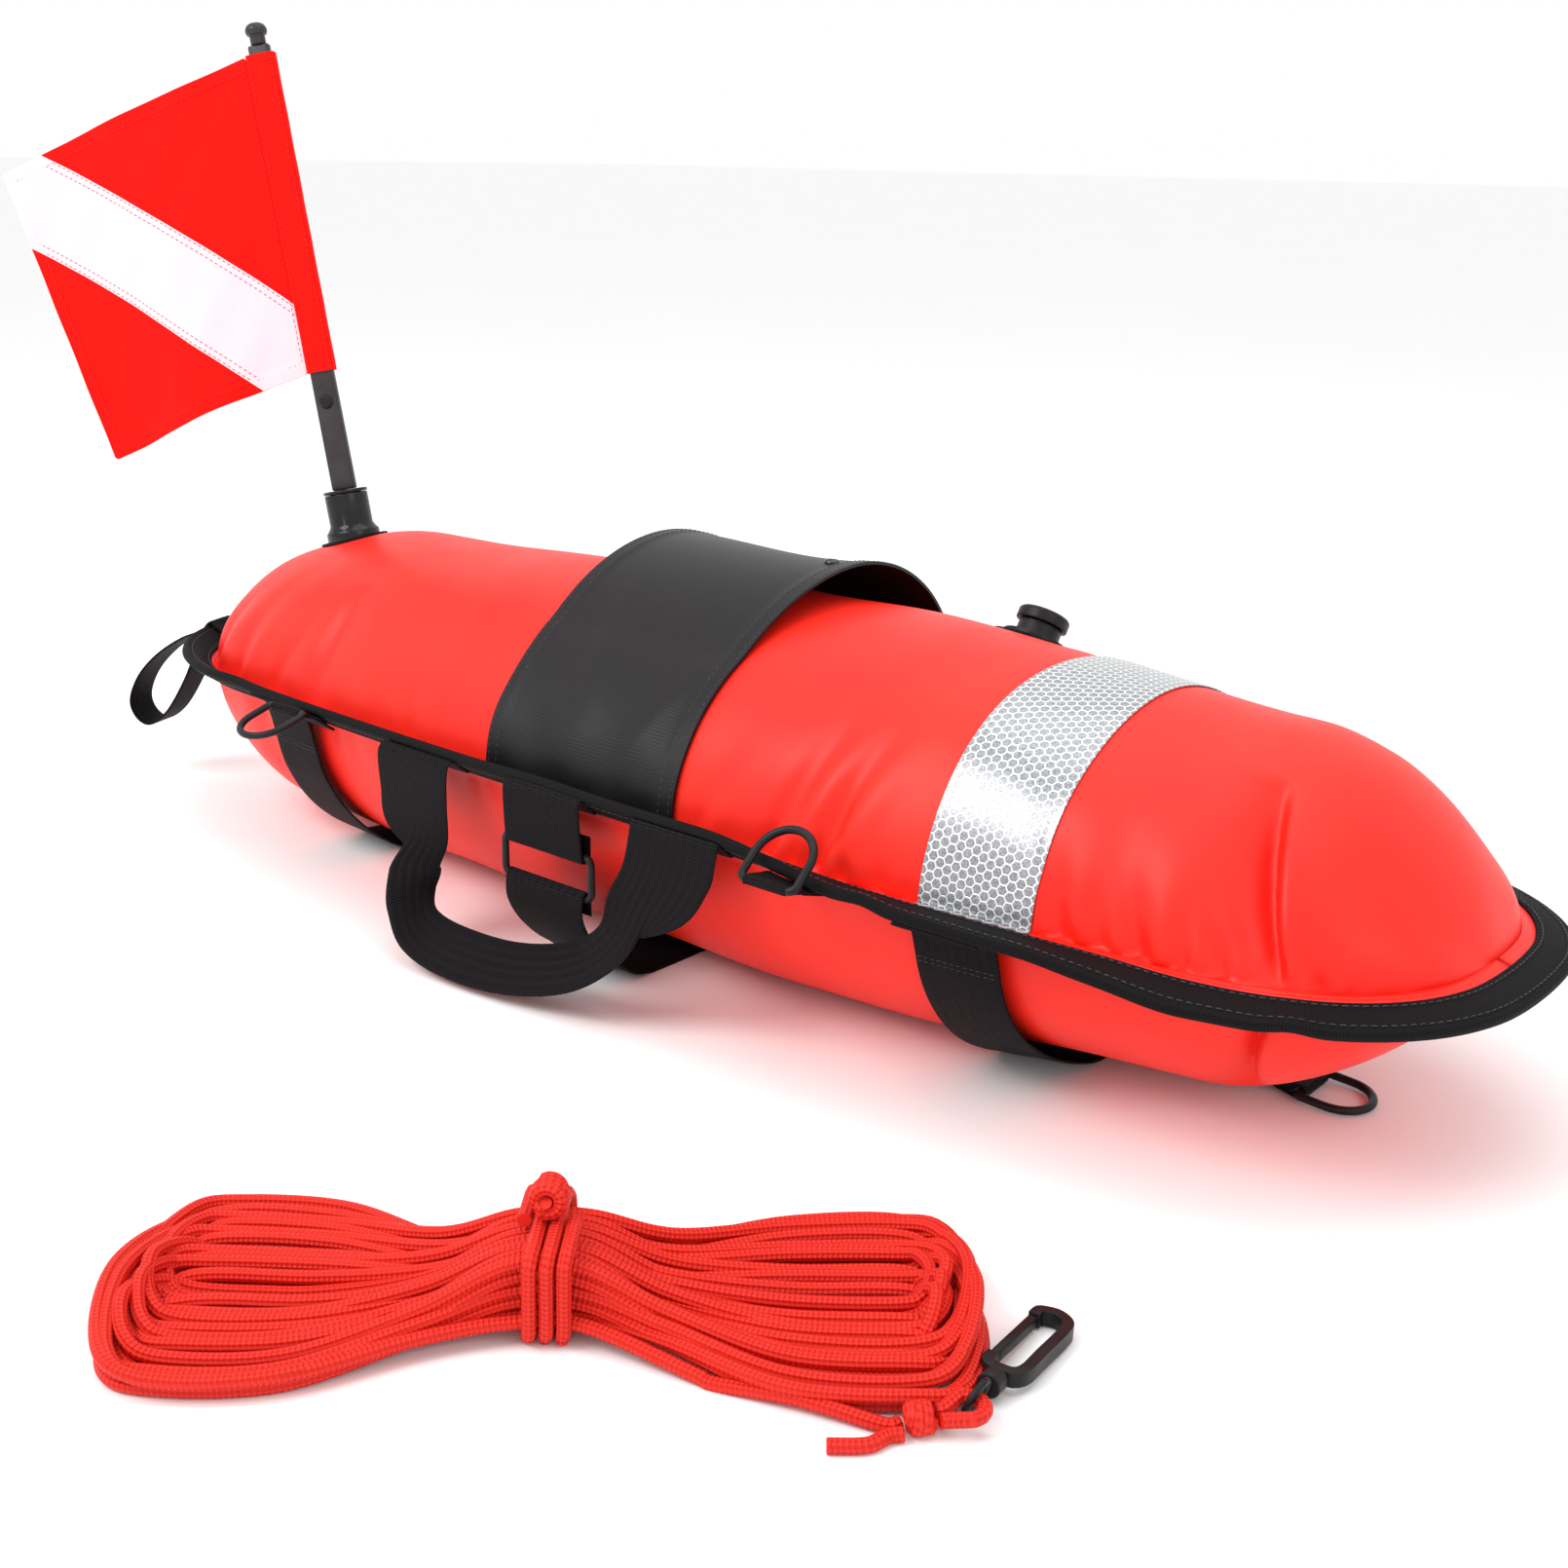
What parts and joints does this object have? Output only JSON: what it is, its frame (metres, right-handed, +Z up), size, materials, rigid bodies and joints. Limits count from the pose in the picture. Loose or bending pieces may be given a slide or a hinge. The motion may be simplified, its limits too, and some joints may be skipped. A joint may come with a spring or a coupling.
{
  "type": "dive flag float",
  "caption": "Inflatable surface float with a flag on a plug-in pole, carrying handle, straps, rings, and a tied hank of line with a snap hook.",
  "frame": {"origin": "on the floor under the middle of the float, on the underside of the middle belly strap", "axes": "+X towards the nose, +Y towards the far side, +Z up; the hank lies on the -Y side"},
  "size_m": [0.8946, 0.5722, 0.4332],
  "materials": {
    "coated": "satin coated cloth",
    "flag_red": "matte woven cloth",
    "flag_white": "matte woven cloth",
    "webbing": "woven nylon webbing",
    "plastic": "satin moulded plastic",
    "reflective": "retroreflective film",
    "rope": "braided rope"
  },
  "bodies": {
    "float": {"upper_panel": "coated", "lower_panel": "coated", "edge_binding": "webbing", "top_band": "webbing", "band_eyelet": "reflective", "reflective_tape": "reflective", "belly_strap_tail": "webbing", "belly_strap_nose": "webbing", "middle_strap_upper": "webbing", "middle_strap_lower": "webbing", "buckle_frame": "plastic", "handle_foot_rear": "webbing", "handle_foot_front": "webbing", "ring_tab_rear_near": "webbing", "ring_tab_rear_far": "webbing", "ring_tab_front_near": "webbing", "ring_tab_front_far": "webbing", "ring_tab_nose": "webbing", "tail_loop_foot_near": "webbing", "tail_loop_foot_middle": "webbing", "socket_patch": "webbing", "pole_socket": "plastic", "valve_patch": "webbing", "valve_body": "plastic", "hank_rope": "rope", "hank_tie": "rope", "tie_knot": "rope", "line_stretch": "rope", "line_knot": "rope", "line_tail": "rope", "line_loop": "rope", "swivel_eye": "plastic", "swivel_barrel": "plastic"},
    "ring_rear_near_body": {"ring_rear_near": "plastic"},
    "ring_rear_far_body": {"ring_rear_far": "plastic"},
    "ring_front_near_body": {"ring_front_near": "plastic"},
    "ring_front_far_body": {"ring_front_far": "plastic"},
    "ring_nose_body": {"ring_nose": "plastic"},
    "handle": {"handle_loop": "webbing"},
    "tail_handle": {"tail_loop": "webbing"},
    "plug": {"pole_plug": "plastic"},
    "pole": {"pole_bar": "plastic", "pole_pin": "plastic", "pole_knob": "plastic", "flag_sleeve": "flag_red", "flag_red_upper": "flag_red", "flag_red_lower": "flag_red", "flag_stripe_white": "flag_white"},
    "cap": {"valve_cap": "plastic"},
    "hook": {"hook_frame": "plastic", "hook_stem": "plastic"},
    "gate": {"hook_gate": "plastic"}
  },
  "joints": [
    {"name": "handle_swing", "type": "hinge", "parent": "float", "child": "handle", "pos_m": [-0.01875, -0.127, 0.0905], "axis": [-1, 0, 0], "range_deg": [0, 95]},
    {"name": "tail_loop_swing", "type": "hinge", "parent": "float", "child": "tail_handle", "pos_m": [-0.3876, -0.0444, 0.0943], "axis": [-0.3206, 0.9472, 0], "range_deg": [-12, 60]},
    {"name": "ring_rear_near_turn", "type": "hinge", "parent": "float", "child": "ring_rear_near_body", "pos_m": [-0.196, -0.1296, 0.0991], "axis": [-1, 0, 0], "range_deg": [-70, 150]},
    {"name": "ring_rear_far_turn", "type": "hinge", "parent": "float", "child": "ring_rear_far_body", "pos_m": [-0.196, 0.1296, 0.0991], "axis": [1, 0, 0], "range_deg": [-70, 150]},
    {"name": "ring_front_near_turn", "type": "hinge", "parent": "float", "child": "ring_front_near_body", "pos_m": [0.128, -0.138, 0.0915], "axis": [-1, 0, 0], "range_deg": [-220, 0]},
    {"name": "ring_front_far_turn", "type": "hinge", "parent": "float", "child": "ring_front_far_body", "pos_m": [0.128, 0.138, 0.0915], "axis": [1, 0, 0], "range_deg": [-220, 0]},
    {"name": "ring_nose_turn", "type": "hinge", "parent": "float", "child": "ring_nose_body", "pos_m": [0.297, 0.016, 0.0034], "axis": [0, -1, 0], "range_deg": [0, 25]},
    {"name": "pole_pull", "type": "slide", "parent": "float", "child": "plug", "axis": [-0.2284, 0, 0.9736], "range_m": [0, 0.02]},
    {"name": "pole_turn", "type": "hinge", "parent": "plug", "child": "pole", "pos_m": [-0.3104, 0, 0.1813], "axis": [-0.2284, 0, 0.9736], "continuous": true},
    {"name": "valve_cap_pull", "type": "slide", "parent": "float", "child": "cap", "axis": [0.0372, 0.5244, 0.8507], "range_m": [0, 0.01]},
    {"name": "hook_turn", "type": "hinge", "parent": "float", "child": "hook", "pos_m": [0.3177, -0.2503, 0.0062], "axis": [-0.1216, 0.9907, -0.061], "continuous": true},
    {"name": "gate_press", "type": "hinge", "parent": "hook", "child": "gate", "pos_m": [0.3096, -0.2346, 0.0052], "axis": [-0.0074, 0.0606, 0.9981], "range_deg": [-15, 0], "stiffness_Nm_per_rad": 0.01}
  ]
}
